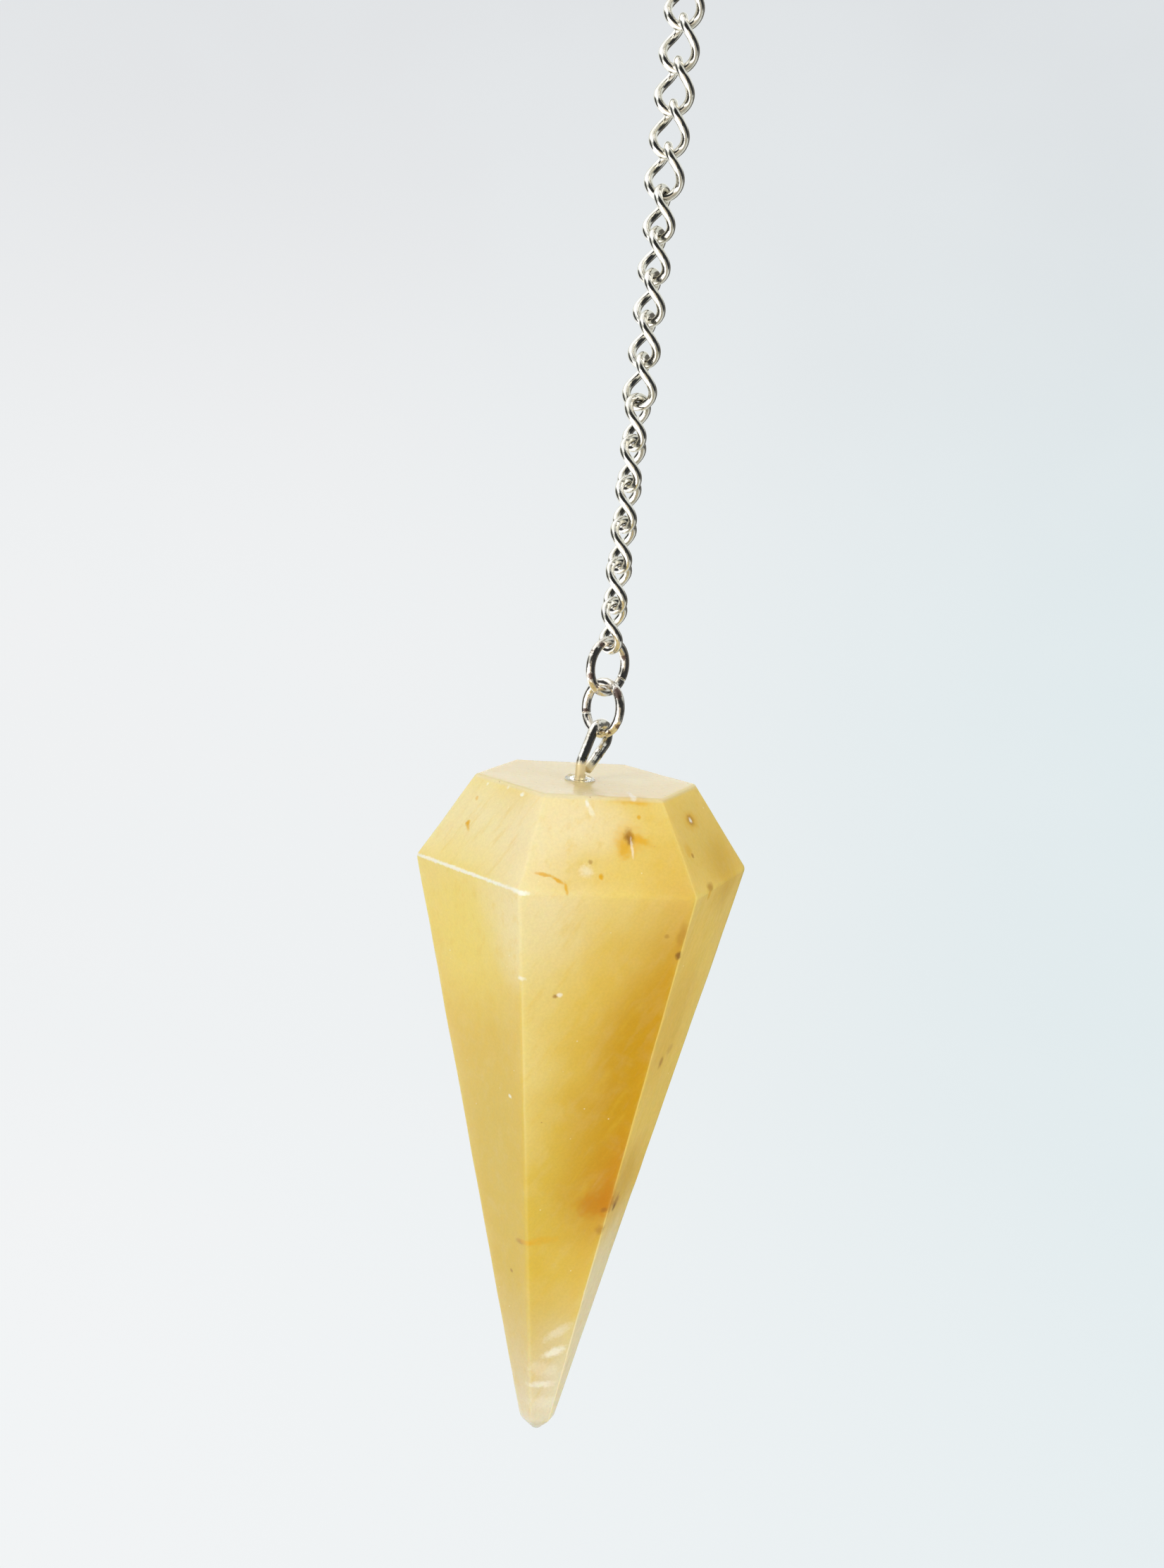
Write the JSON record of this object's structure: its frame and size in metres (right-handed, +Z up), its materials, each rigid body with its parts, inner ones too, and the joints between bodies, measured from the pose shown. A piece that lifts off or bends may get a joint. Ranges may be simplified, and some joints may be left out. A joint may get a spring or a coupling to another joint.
{
  "type": "pendulum pendant",
  "caption": "Six-sided pointed stone with a glued eye pin, hanging free from two jump rings on a twisted curb chain that ends in a plain ring.",
  "frame": {"origin": "the highest point inside the end ring, where the pendant hangs", "axes": "+Z up along the hanging chain, +X to the right of the picture's view and +Y away from it, across the end ring's plane"},
  "size_m": [0.0212, 0.0203, 0.1044],
  "materials": {
    "stone": "polished, slightly translucent cream to honey-yellow stone with brown iron stains and fine cracks",
    "pin_metal": "bright silver plate on a fine bent wire, lightly marked by pliers",
    "clear_glue": "clear glossy dried glue",
    "ring_metal": "bright silver plate with plier marks worn through to reddish brown",
    "chain_metal": "bright silver plate, darkened between the links"
  },
  "bodies": {
    "chain": {"end_ring": "ring_metal", "curb_link_01": "chain_metal", "curb_link_02": "chain_metal", "curb_link_03": "chain_metal", "curb_link_04": "chain_metal", "curb_link_05": "chain_metal", "curb_link_06": "chain_metal", "curb_link_07": "chain_metal", "curb_link_08": "chain_metal", "curb_link_09": "chain_metal", "curb_link_10": "chain_metal", "curb_link_11": "chain_metal", "curb_link_12": "chain_metal", "curb_link_13": "chain_metal", "curb_link_14": "chain_metal", "curb_link_15": "chain_metal", "curb_link_16": "chain_metal", "curb_link_17": "chain_metal", "upper_ring": "ring_metal"},
    "lower_ring": {"lower_ring": "ring_metal"},
    "drop": {"stone": "stone", "eye_pin": "pin_metal", "glue_bead": "clear_glue"}
  },
  "joints": [
    {"name": "ring_swing", "type": "hinge", "parent": "chain", "child": "lower_ring", "pos_m": [0, 0, -0.05306], "axis": [0.6561, 0.7547, 0], "range_deg": [-75, 75]},
    {"name": "stone_swing", "type": "hinge", "parent": "lower_ring", "child": "drop", "pos_m": [0, 0, -0.05573], "axis": [0.6561, -0.7547, 0], "range_deg": [-75, 75]}
  ]
}
